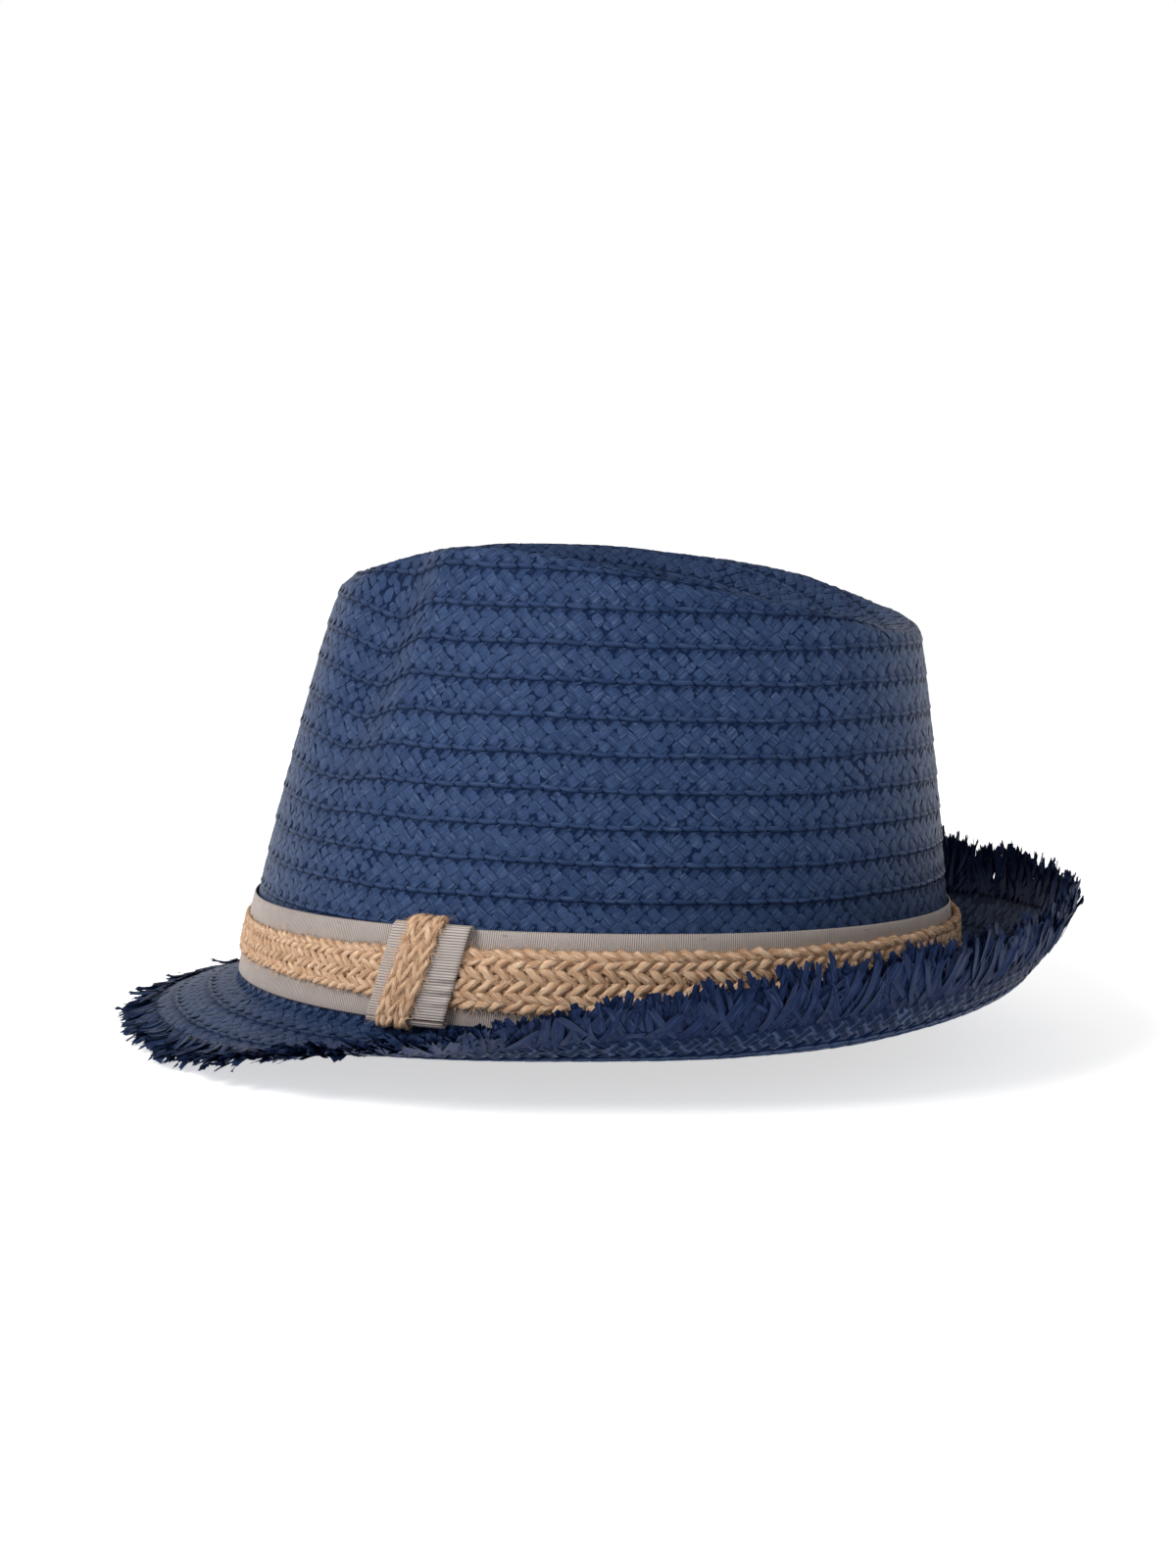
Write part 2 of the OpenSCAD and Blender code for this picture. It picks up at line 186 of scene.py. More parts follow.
def brim(phi, w):
    """Brim surface at an angle and a distance out from the root."""
    a = from_front(phi)
    start = np.radians(eased(a, ROOT_SLOPE, TABLE_REACH))
    turn = np.radians(eased(a, EDGE_SLOPE, TABLE_REACH)) - start
    turn = np.where(np.abs(turn) < LEAST_TURN, LEAST_TURN, turn)
    rate = turn / eased(a, BRIM_WIDTH, TABLE_REACH)
    out = (np.sin(start + rate * w) - np.sin(start)) / rate
    up = -(np.cos(start + rate * w) - np.cos(start)) / rate
    r = np.radians(phi)
    half_length = (FRONT_REACH + BACK_REACH) / 2
    aim = np.stack([half_length * np.sin(r), -HALF_WIDTH * np.cos(r), 0 * r], -1)
    aim /= np.linalg.norm(aim, axis=-1, keepdims=True)
    p = wall(phi, 0 * r) + out[..., None] * aim
    p[..., 2] += up
    return p


def hat_point(phi, n):
    """Surface of crown and brim: rows count up the crown and, below zero, out along the brim."""
    phi, n = np.broadcast_arrays(np.asarray(phi, float), np.asarray(n, float))
    woven = eased(from_front(phi), BRIM_WIDTH, TABLE_REACH) - FRINGE_LENGTH
    frayed = woven + (-n - WOVEN_ROWS) * FRINGE_LENGTH
    w = np.where(-n < WOVEN_ROWS, -n * woven / WOVEN_ROWS, frayed)
    return np.where((n >= 0)[..., None], crown(phi, np.maximum(n, 0)), brim(phi, np.maximum(w, 0)))


def off_by(point, phi, n, off):
    """Point at a distance off a surface, along its normal."""
    p = point(phi, n)
    side = point(phi + 0.5, n) - point(phi - 0.5, n)
    up = point(phi, n + 0.05) - point(phi, n - 0.05)
    normal = np.cross(side, up)
    normal /= np.linalg.norm(normal, axis=-1, keepdims=True)
    return p + np.asarray(off)[..., None] * normal


def off_hat(phi, n, off):
    return off_by(hat_point, phi, n, off)


def off_wall(phi, d, off):
    """Point off the wall, at a distance up it."""
    return off_by(crown, phi, np.asarray(d, float) / ROW_PITCH, off)


def arc_table(point, low, high, step=1.5):
    """Angles from low to high, and the distance travelled along the hat at each of them."""
    phi = np.arange(low, high + step / 2, step)
    p = point(phi)
    gone = np.concatenate([[0], np.cumsum(np.linalg.norm(np.diff(p, axis=0), axis=1))])
    return phi, gone


# --- Mesh helpers ------------------------------------------------------------------------------


def grid_faces(count, rows, cols, wrap_rows=False, wrap_cols=False):
    """Quads of count grids of rows by cols points, stored one after another."""
    i = np.arange(rows if wrap_rows else rows - 1)
    j = np.arange(cols if wrap_cols else cols - 1)
    i, j = np.meshgrid(i, j, indexing="ij")
    i2, j2 = (i + 1) % rows, (j + 1) % cols
    quads = np.stack([i * cols + j, i2 * cols + j, i2 * cols + j2, i * cols + j2], -1).reshape(-1, 4)
    return (quads[None] + (np.arange(count) * rows * cols)[:, None, None]).reshape(-1, 4)


class Build:
    """Collects grids of points for one piece, and makes its mesh."""

    def __init__(self):
        self.points, self.faces, self.uvs, self.total = [], [], [], 0
        self.marks = {"tone": [], "shade": [], "side": []}

    def add(self, points, uv=None, tone=0.5, shade=0.0, side=0.0, wrap_rows=False, wrap_cols=False):
        """points is (count, rows, cols, 3) in millimetres, and uv has its first three axes.

        tone picks a strand's colour, shade from 0 to 1 darkens where it lies under others, and
        side is -1 and 1 at its two edges.
        """
        count, rows, cols = points.shape[:3]
        if uv is None:
            uv = np.zeros((count, rows, cols, 2))
        tone = np.asarray(tone, float)
        if tone.ndim < 3:
            tone = tone.reshape(-1, 1, 1)
        self.points.append(points.reshape(-1, 3))
        self.uvs.append(np.broadcast_to(uv, (count, rows, cols, 2)).reshape(-1, 2))
        for key, value in (("tone", tone), ("shade", shade), ("side", side)):
            self.marks[key].append(np.broadcast_to(value, (count, rows, cols)).reshape(-1))
        self.faces.append(grid_faces(count, rows, cols, wrap_rows, wrap_cols) + self.total)
        self.total += count * rows * cols

    def cap_ends(self, rows, cols):
        """Closes both ends of the loft of rings that was added last."""
        i = np.arange(rows // 2 - 1)
        quads = np.stack([i, i + 1, rows - 2 - i, rows - 1 - i], -1) * cols + self.total - rows * cols
        self.faces += [quads[:, ::-1], quads + cols - 1]

    def make(self, name, material, replaced=()):
        points = np.concatenate(self.points) * MM
        faces = np.concatenate(self.faces)
        uvs = np.concatenate(self.uvs)
        mesh = bpy.data.meshes.new(name)
        mesh.vertices.add(len(points))
        mesh.vertices.foreach_set("co", points.ravel())
        mesh.loops.add(faces.size)
        mesh.loops.foreach_set("vertex_index", faces.ravel())
        mesh.polygons.add(len(faces))
        mesh.polygons.foreach_set("loop_start", np.arange(0, faces.size, 4))
        mesh.polygons.foreach_set("loop_total", np.full(len(faces), 4))
        mesh.polygons.foreach_set("use_smooth", np.ones(len(faces), bool))
        mesh.update(calc_edges=True)
        layer = mesh.uv_layers.new(name="Strand")
        layer.data.foreach_set("uv", uvs[faces.ravel()].ravel())
        for key, values in self.marks.items():
            attribute = mesh.attributes.new(key, "FLOAT", "POINT")
            attribute.data.foreach_set("value", np.concatenate(values))
        mesh.validate()
        mesh.materials.append(material)
        piece = bpy.data.objects.new(name, mesh)
        bpy.context.scene.collection.objects.link(piece)
        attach(piece, "root")
        if replaced:
            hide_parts(*replaced)
        return piece


# --- Plaiting ----------------------------------------------------------------------------------

STRAND_PITCH = 4.9     # along the braid, between two strands that lie the same way
STRAND_SLOPE = 1.2     # how far a strand goes along the braid for each step across it
STRAND_WIDTH = 3.75
WIDTH_RANGE = 0.88, 1.08
STRAND_LIFT = 0.17     # how far a strand rises and dips where it crosses another
DIVE = 1.9             # how steeply it does so
STRAND_CROWNING = 0.05
STRAND_JITTER = 0.16   # how far a strand lies from its place
STRAND_BEND = 0.035
STRAND_TILT = 0.07
NARROWING = 0.07       # a strand narrows where it dives under its neighbours
CROSSING_STEPS = 6     # points along a strand for each pair of crossings
# Widths of the painted shade under the next row's edge and just above the rib
NEXT_ROW_SHADE_WIDTH, RIB_SHADE_WIDTH = 0.55, 0.4
PLAIT_FOOT, PLAIT_TOP = 0.9, 12.0
RIB_TOP = 2.0          # height above the braid's edge where the rib ends and the plait shows
BRAID_LEAN = 0.3       # how far the braid leans in under the row above it
EDGE_WAVE = 0.035      # sewn rows waver, in rows
# Middle, radius and rise of each rolled edge, the length of its parts and its number of sides
RIB = 0.9, 0.96, -0.32, 4.9, 6
INNER_EDGE = 11.9, 0.6, -0.3, 5.5, 4
ROLL_FLATNESS, ROLL_SLANT = 0.66, 0.7


def plait(build, place, length, low, high):
    """Two sets of flat strands that cross on the slant, over one and under one.

    place turns distances along and across the braid and a height above its middle into points.
    """
    count = max(3, round(length / STRAND_PITCH))
    pitch = length / count
    band = pitch / STRAND_SLOPE
    unit = math.hypot(1, STRAND_SLOPE)
    first = math.ceil((low - RIB_TOP) / band * CROSSING_STEPS)
    last = math.floor((high - RIB_TOP) / band * CROSSING_STEPS)
    v = RIB_TOP + np.arange(first, last + 1) * band / CROSSING_STEPS
    across = np.array([-0.5, 0, 0.5])
    # Painted shade: a dark band where the strands go in under the next row's stitched edge, and a
    # weaker one just above the rib
    painted_rib_shade = np.exp(-((v - ROW_PITCH) / NEXT_ROW_SHADE_WIDTH) ** 2)
    painted_rib_shade = painted_rib_shade + 0.6 * np.exp(-((v - RIB_TOP) / RIB_SHADE_WIDTH) ** 2)
    for sense in (1, -1):
        start = (np.arange(count) + 0.25 * sense) * pitch + rng.normal(0, STRAND_JITTER, count)
        wide = STRAND_WIDTH * rng.uniform(*WIDTH_RANGE, count)
        bend = rng.normal(0, STRAND_BEND, (count, 1)) * (v - ROW_PITCH / 2)[None]
        over = np.clip(DIVE * np.sin(2 * np.pi * (v - RIB_TOP) / band), -1, 1)
        along = start[:, None] + sense * STRAND_SLOPE * (v - RIB_TOP)[None] + bend
        height = STRAND_LIFT * sense * over[None] + rng.normal(0, 0.05, (count, 1))
        tilt = rng.normal(0, STRAND_TILT, (count, 1, 1))
        pinch = 1 - NARROWING * np.abs(np.cos(2 * np.pi * (v - RIB_TOP) / band)) ** 3
        half = across * (wide[:, None] * pinch[None])[..., None] / unit
        # Painted shade where a strand dives under the other set, plus the painted shade at the row
        # edges
        shade = np.clip(np.clip(0.04 - 0.9 * sense * over, 0, 0.9) + painted_rib_shade, 0, 1)
        s = along[..., None] + half
        vv = v[None, :, None] - sense * STRAND_SLOPE * half
        rise = height[..., None] + STRAND_CROWNING * (1 - 8 * across ** 2) + tilt * across * 2
        uv = np.stack(np.broadcast_arrays(
            across[None, None] * wide[:, None, None] + 10 * rng.random((count, 1, 1)),
            v[None, :, None] * unit + 40 * rng.random((count, 1, 1)),
        ), -1)
        tone = 0.22 + 0.5 * rng.random(count)[:, None, None]
        tone = tone + rng.normal(0, 0.08, (count, len(v), 1))
        build.add(place(s, np.maximum(vv, 0.1), rise), uv, tone, shade[None, :, None], 2 * across)
    # Sheet between the two faces, painted in shade, so that no light comes through the gaps
    s = np.linspace(0, length, max(8, round(length / 3)) + 1)[:, None]
    v = np.array([min(low, 0) + 0.6, 4.0, 8.0, ROW_PITCH, high - 0.6])[None]
    s, v = np.broadcast_arrays(s, v)
    build.add(place(s, v, 0 * s)[None], tone=0.0, shade=0.7)


def rope_edge(build, place, length, middle, radius, rise, segment, sides):
    """Rolled edge of the braid: short lengths of strand, each coming out from under the last."""
    turns = max(3, round(length / segment))
    moved = np.concatenate([[0], rng.uniform(-0.22, 0.22, turns - 1), [0]])
    ends = (np.arange(turns + 1) + moved) * length / turns
    # Each part swells out of a notch and thins again under the next; the notch and the roll's underside
    # are painted in shade
    part = np.array([0, 0.06, 0.25, 0.6, 0.92])
    size = np.array([0.74, 0.97, 1.04, 1.0, 0.93])
    dark = np.array([1.0, 0.25, 0.0, 0.0, 0.2])
    s = np.append((ends[:-1, None] + np.diff(ends)[:, None] * part[None]).ravel(), length)
    size = np.append(np.tile(size, turns), size[0])[:, None] * (1 + 0.05 * np.sin(0.9 * s[:, None]))
    dark = np.append(np.tile(dark, turns), dark[0])[:, None]
    tone = np.append(np.repeat(rng.uniform(0.1, 0.8, turns), len(part)), 0.5)[:, None]
    angle = np.radians(np.arange(sides) * 360.0 / sides)[None]
    v = middle + radius * size * np.sin(angle) + 0.1 * np.sin(0.37 * s[:, None])
    h = rise + ROLL_FLATNESS * radius * size * np.cos(angle)
    slant = s[:, None] - ROLL_SLANT * radius * np.sin(angle)
    uv = np.stack([angle * radius + 0 * v, s[:, None] + 0 * v], -1)
    # Painted shade in the notches and on the underside of the roll
    shade = np.clip(dark + 0.7 * (np.sin(angle) < -0.6), 0, 1)
    build.add(place(slant, v, h)[None], uv[None], tone[None] + 0 * v, shade[None], wrap_cols=True)


def turn_place(edge):
    """How to place points on a braid row whose free edge is at row edge(phi), and the row's length."""
    phi, gone = arc_table(lambda a: hat_point(a, edge(a) + 0.5), -200, 200)
    start = np.interp(-180, phi, gone)
    length = np.interp(180, phi, gone) - start

    def place(s, v, h):
        a = np.interp(np.asarray(s, float) + start, gone, phi)
        waver = EDGE_WAVE * (0.6 * np.sin(np.radians(a * 5 + 40)) + 0.4 * np.sin(np.radians(a * 11)))
        n = np.minimum(edge(a) + v / ROW_PITCH + waver, CROWN_ROWS - TIP_REST)
        return off_hat(a, n, h - BRAID_LEAN * v / ROW_PITCH - BRAID_T / 2)
    return place, length


def knot(build):
    """Closes the middle of the dent, where the first turn of the braid is rolled up on itself."""
    a = np.arange(0, 360, 15.0)[None]
    rows = np.array([19.9, 20.3, 20.6, 20.85])[:, None]
    off = np.array([-1.1, -0.8, -0.75, -0.9])[:, None]
    rings = off_hat(a, rows, off)
    middle = np.broadcast_to(rings[-1].mean(0), rings[-1].shape)
    # The knot is lightly painted in shade, down in the middle of the dent
    build.add(np.concatenate([rings, middle[None]])[None], tone=0.3, shade=0.2, wrap_cols=True)


def braid_turn(name, edge, replaced, low=PLAIT_FOOT, ribbed=True):
    build = Build()
    place, length = turn_place(edge)
    plait(build, place, length, low, PLAIT_TOP)
    if ribbed:
        rope_edge(build, place, length, *RIB)
    # The braid's other edge shows inside the crown and under the brim
    rope_edge(build, place, length, *INNER_EDGE)
    if name == f"braid_crown_{SPIRAL_TURNS:02d}":
        knot(build)
    return build.make(name, NAVY, replaced)


# --- Materials ---------------------------------------------------------------------------------


def new_material(name):
    material = bpy.data.materials.new(name)
    material.use_nodes = True
    tree = material.node_tree
    tree.nodes.clear()
    output = tree.nodes.new("ShaderNodeOutputMaterial")
    shader = tree.nodes.new("ShaderNodeBsdfPrincipled")
    tree.links.new(shader.outputs[0], output.inputs[0])
    return material, tree, shader


def node(tree, kind, **values):
    made = tree.nodes.new(kind)
    for key, value in values.items():
        if key in made.inputs:
            made.inputs[key].default_value = value
        else:
            setattr(made, key, value)
    return made


def strand_coordinates(tree, across, along):
    """The strand's own coordinates in millimetres, stretched by the two factors."""
    uv = node(tree, "ShaderNodeUVMap", uv_map="Strand")
    scale = node(tree, "ShaderNodeMapping")
    scale.inputs["Scale"].default_value = (across, along, 1)
    tree.links.new(uv.outputs[0], scale.inputs[0])
    return scale.outputs[0]


def mixed_colour(tree, factor, a, b):
    mix = node(tree, "ShaderNodeMix", data_type="RGBA")
    tree.links.new(factor, mix.inputs[0])
    for socket, value in ((mix.inputs[6], a), (mix.inputs[7], b)):
        if isinstance(value, tuple):
            socket.default_value = (*value, 1)
        else:
            tree.links.new(value, socket)
    return mix.outputs[2]


def ranged(tree, value, low, high, to_low=0.0, to_high=1.0):
    scale = node(tree, "ShaderNodeMapRange")
    tree.links.new(value, scale.inputs["Value"])
    for key, number in (("From Min", low), ("From Max", high), ("To Min", to_low), ("To Max", to_high)):
        scale.inputs[key].default_value = number
    return scale.outputs[0]


def noise(tree, vector, scale, detail=2.0, rough=0.5):
    made = node(tree, "ShaderNodeTexNoise", Scale=scale, Detail=detail, Roughness=rough)
    tree.links.new(vector, made.inputs["Vector"])
    return made.outputs[0]


def bumped(tree, shader, height, strength, distance):
    bump = node(tree, "ShaderNodeBump", Strength=strength, Distance=distance)
    tree.links.new(height, bump.inputs["Height"])
    tree.links.new(bump.outputs[0], shader.inputs["Normal"])


def strand_material(name, shade_colour, dark, light, fibre, rough, bump=0.5, across=3.2, along=0.16,
                    gloss=0.3, lines=(0.52, 0.7), glint=(1, 1, 1)):
    """Flat paper or plant strand: fine lines along it, a tone of its own and slow stains.

    The first colour is painted shade: mixed in along its edges, where it meets its neighbours, and
    where it lies under others. glint tints its shine.
    """
    material, tree, shader = new_material(name)
    fine = noise(tree, strand_coordinates(tree, across, along), 1.0, 3.0, 0.6)
    slow = noise(tree, strand_coordinates(tree, 0.25, 0.12), 1.0, 2.0)
    tone = node(tree, "ShaderNodeAttribute", attribute_name="tone")
    base = mixed_colour(tree, tone.outputs["Fac"], dark, light)
    lined = mixed_colour(tree, ranged(tree, fine, *lines), base, fibre)
    stained = mixed_colour(tree, ranged(tree, slow, 0.35, 0.75, 0, 0.35), lined, dark)
    shade = node(tree, "ShaderNodeAttribute", attribute_name="shade")
    side = node(tree, "ShaderNodeAttribute", attribute_name="side")
    out = node(tree, "ShaderNodeMath", operation="ABSOLUTE")
    tree.links.new(side.outputs["Fac"], out.inputs[0])
    # Painted shade along the strand's edges, where it meets its neighbours
    edge_shaded = mixed_colour(tree, ranged(tree, out.outputs[0], 0.84, 0.96, 0, 0.9), stained, shade_colour)
    shaded = mixed_colour(tree, shade.outputs["Fac"], edge_shaded, shade_colour)
    tree.links.new(shaded, shader.inputs["Base Color"])
    shine = ranged(tree, shade.outputs["Fac"], 0, 1, gloss, 0)
    tree.links.new(shine, shader.inputs["Specular IOR Level"])
    shader.inputs["Specular Tint"].default_value = (*glint, 1)
    roughness = ranged(tree, fine, 0.3, 0.7, rough - 0.08, rough + 0.1)
    tree.links.new(roughness, shader.inputs["Roughness"])
    bumped(tree, shader, fine, bump, 0.0004)
    return material


WAVE_LENGTH = 2 * math.pi / 20     # of the wave texture at scale 1


def woven_material(name, groove_shade, light, rough, rib, thread, bump=0.4):
    """Close weave: ribs every so many millimetres, crossed by finer threads, with the grooves between
    them painted in shade.
    """
    material, tree, shader = new_material(name)
    waves = []
    for pitch, direction in ((rib, "X"), (thread, "Y")):
        wave = node(tree, "ShaderNodeTexWave", Scale=1.0, Distortion=0.25, Detail=1.0)
        wave.wave_type = "BANDS"
        wave.bands_direction = direction
        stretch = WAVE_LENGTH / pitch
        tree.links.new(strand_coordinates(tree, stretch, stretch), wave.inputs["Vector"])
        waves.append(wave.outputs["Fac"])
    slow = noise(tree, strand_coordinates(tree, 0.2, 0.2), 1.0, 3.0)
    # Painted shade in the grooves, faint between the threads and full between the ribs
    crossed = mixed_colour(tree, ranged(tree, waves[1], 0.2, 1, 0, 0.3), light, groove_shade)
    ribbed = mixed_colour(tree, ranged(tree, waves[0], 0.35, 1), crossed, groove_shade)
    faded = mixed_colour(tree, ranged(tree, slow, 0.4, 0.7, 0, 0.15), ribbed, groove_shade)
    tree.links.new(faded, shader.inputs["Base Color"])
    shader.inputs["Roughness"].default_value = rough
    lowered = node(tree, "ShaderNodeMath", operation="MULTIPLY")
    lowered.inputs[1].default_value = -1
    tree.links.new(waves[0], lowered.inputs[0])
    bumped(tree, shader, lowered.outputs[0], bump, 0.00015)
    return material


SEA_BLUE = (0.35, 0.5, 0.95)
NAVY = strand_material(
    "navy_paper", shade_colour=(0.003, 0.008, 0.030), dark=(0.011, 0.025, 0.070), light=(0.031, 0.058, 0.132),
    fibre=(0.080, 0.115, 0.200), rough=0.42, gloss=0.25, glint=SEA_BLUE)
FRINGE = strand_material(
    "navy_fringe", shade_colour=(0.003, 0.006, 0.026), dark=(0.004, 0.011, 0.044), light=(0.027, 0.051, 0.124),
    fibre=(0.042, 0.068, 0.145), rough=0.45, gloss=0.25, glint=SEA_BLUE)
JUTE = strand_material(
    "jute_fibre", shade_colour=(0.17, 0.07, 0.03), dark=(0.42, 0.225, 0.12), light=(0.70, 0.455, 0.285),
    fibre=(0.90, 0.72, 0.52), rough=0.8, bump=0.8, across=2.4, along=0.3, lines=(0.48, 0.66))
RIBBON_RIB, TAB_RIB = 0.6, 0.74
# The painted shade in the grooves, then the ribbon's own colour
RIBBON_COLOURS = (0.155, 0.132, 0.122), (0.53, 0.455, 0.415)
GROSGRAIN = woven_material(
    "grosgrain_cloth", *RIBBON_COLOURS, rough=0.5, rib=RIBBON_RIB, thread=0.35)
TAB_GROSGRAIN = woven_material(
    "grosgrain_tab_cloth", *RIBBON_COLOURS, rough=0.4, rib=TAB_RIB, thread=0.35)
COTTON = woven_material(
    "sweatband_twill", groove_shade=(0.008, 0.012, 0.03), light=(0.022, 0.032, 0.075),
    rough=0.85, rib=0.45, thread=0.45)
TAPE = woven_material(
    "tape_cloth", groove_shade=(0.006, 0.01, 0.022), light=(0.018, 0.024, 0.055),
    rough=0.8, rib=0.35, thread=0.35)
LABEL = woven_material(
    "label_satin", groove_shade=(0.52, 0.50, 0.46), light=(0.74, 0.72, 0.67),
    rough=0.45, rib=0.25, thread=0.25, bump=0.2)
THREAD = strand_material(
    "sewing_thread", shade_colour=(0.1, 0.09, 0.08), dark=(0.20, 0.19, 0.18), light=(0.34, 0.31, 0.29),
    fibre=(0.5, 0.47, 0.44), rough=0.6)

# --- Crown and brim ----------------------------------------------------------------------------

SPIRAL_START = 0.1


def level(k):
    """Edge of a closed row."""
    return lambda phi: 0 * phi + k


def spiral(k):
    """Edge of a turn that climbs one row in a trip round the hat."""
    return lambda phi: k - SPIRAL_START - phi / 360


for k in range(1, SPIRAL_TURNS + 1):
    braid_turn(f"braid_crown_{k:02d}", spiral(k), [f"crown_turn_{k:02d}"])
# The row behind the ribbon's foot has no rib, and the last one runs out into the frayed edge
braid_turn("braid_crown_root", level(0), ["crown_root_turn"], low=0.0, ribbed=False)
for k in range(1, WOVEN_ROWS):
    braid_turn(f"braid_brim_{k}", level(-k), [f"brim_turn_{k}"])
braid_turn(f"braid_brim_{WOVEN_ROWS}", level(-WOVEN_ROWS), [f"brim_turn_{WOVEN_ROWS}"],
           low=-3.0, ribbed=False)

# --- Frayed edge -------------------------------------------------------------------------------

# Longest on the wearer's right at the back, where the angles are negative
FRAY_LENGTH = [[-190, 14], [-160, 16], [-142, 21], [-112, 21], [-85, 14], [-62, 11], [-40, 11.5],
               [40, 11.5], [62, 10.5], [84, 12], [100, 14.5], [118, 18], [145, 16], [190, 14]]
FRAY_PITCH, TUFT_PITCH = 2.6, 6.5
FRAY_WIDTH = 1.6, 3.0
FRAY_ROOT, SIDE_ROOT = -4.5, 3.5     # where a strand leaves the plait: in front, and further out beside
SIDES = 50, 85                       # the angles between which front turns into side
# Layers of strands: the way they slant, their height off the brim and their share of the length
FRAY_LAYERS = ((1, -1.3, 1), (-1, 0.0, 0.98), (1, -0.4, 0.96), (-1, -0.9, 0.94), (1, -0.7, 0.88),
               (-1, -0.5, 0.82), (1, 0.2, 0.78))


def fray(build, sense, base, shorter):
    """A layer of loose strands. They leave along the plait and sweep out to their torn tips."""
    phi, gone = arc_table(lambda a: hat_point(a, -WOVEN_ROWS + 0 * a), -200, 200)
    first = np.interp(-180, phi, gone)
    length = np.interp(180, phi, gone) - first
    count = round(length / FRAY_PITCH)
    s0 = (np.arange(count) + rng.uniform(-0.4, 0.4, count)) * length / count
    facing = np.interp(s0 + first, gone, phi)
    facing = (facing + 180) % 360 - 180
    beside = ramp(*SIDES, np.abs(facing))[:, None]
    # Neighbours stick together in tufts, each with its own length
    tuft = np.round(s0 / TUFT_PITCH + 0.35 * np.sin(s0 * 0.37)) * TUFT_PITCH
    uneven = 0.9 + 0.1 * np.sin(1.7 * tuft) + rng.uniform(-0.08, 0.08, count)
    reach = eased(facing, FRAY_LENGTH, 8) * uneven * shorter
    wide = rng.uniform(*FRAY_WIDTH, count)
    t = np.linspace(0, 1, 9)

    def spread(deviation, mean=0):
        return rng.normal(mean, deviation, count)[:, None]

    # Heading of each strand, from along the plait at its root to outwards at its tip
    lean = np.radians(spread(8, 36) + spread(15, 50) * np.minimum(1, 1.5 * t[None]) ** 0.8)
    dt = np.diff(t, prepend=0)
    s = s0[:, None] + sense * np.cumsum(np.cos(lean) * dt, 1) * reach[:, None]
    w = FRAY_ROOT + SIDE_ROOT * beside + np.cumsum(np.sin(lean) * dt, 1) * reach[:, None]
    s = s + (tuft + sense * 0.2 * reach - s0)[:, None] * 0.5 * t[None] ** 2
    off = base + spread(0.25) + spread(1.1) * t[None] ** 2
    roll = np.radians(spread(12) + spread(20) * t[None])
    across = np.array([-0.5, -0.25, 0, 0.25, 0.5])
    shape = 0.9 + 0.1 * np.sin(np.pi * t)
    half = across * (wide[:, None] * shape[None])[..., None]
    torn = rng.uniform(-1.2, 0.9, (count, 1, 5)) * (t ** 9)[None, :, None]
    lean, roll = lean[..., None], roll[..., None]
    s = s[..., None] - sense * half * np.sin(lean) * np.cos(roll) + sense * torn * np.cos(lean)
    w = w[..., None] + half * np.cos(lean) * np.cos(roll) + torn * np.sin(lean)
    off = off[..., None] + half * np.sin(roll) + 0.16 * (1 - 4 * across ** 2) * sense
    n = -WOVEN_ROWS - np.where(w > 0, w / FRINGE_LENGTH, w / ROW_PITCH)
    uv = np.stack(np.broadcast_arrays(
        half + 10 * rng.random((count, 1, 1)),
        t[None, :, None] * reach[:, None, None] + 40 * rng.random((count, 1, 1)),
    ), -1)
    a = np.interp(s + first, gone, phi)
    # Painted light and shade by facing: the front, which faces up, gets lighter paper and the sides
    # darker paper, so that under the lamp both look like the rest; each strand also darkens towards its
    # tip
    tone = rng.random(count)[:, None] * (1 - 0.6 * t[None]) * (1 - 0.6 * beside)
    tone = (0.25 * (1 - beside) + tone)[..., None]
    # Painted shade at the roots, where the strands leave the plait from under the others; the tips are
    # made darker too
    shade = 0.5 * (1 - t) ** 2 + 0.3 * t ** 3
    build.add(off_hat(a, n, off), uv, tone, shade[None, :, None], 2 * across)


def frayed_edge():
    build = Build()
    for sense, base, shorter in FRAY_LAYERS:
        fray(build, sense, base, shorter)
    build.make("frayed_edge", FRINGE, ["fringe_edge"])


frayed_edge()

# --- Hat band: ribbon and jute -----------------------------------------------------------------

RIBBON_OFF, RIBBON_T = 0.5, 0.45
RIB_HEIGHT, RIB_SCALLOP, RIBBON_SLACK = 0.09, 0.1, 0.16
BAND_MIDDLE = 14
KEEPER_AT = 62.5


def smooth_noise(x, seed):
    """Slow wave made of a few sines, about -1 to 1."""
    waves = np.sin(x + seed) + 0.6 * np.sin(2.3 * x + 1.7 * seed) + 0.4 * np.sin(4.1 * x + 2.9 * seed)
    return waves / 1.6


def round_band(off, low, high):
    """Angles from low to high, and the distance gone along the middle of the band at each of them."""
    return arc_table(lambda a: off_wall(a, BAND_MIDDLE + 0 * a, off + 0 * a), low, high)


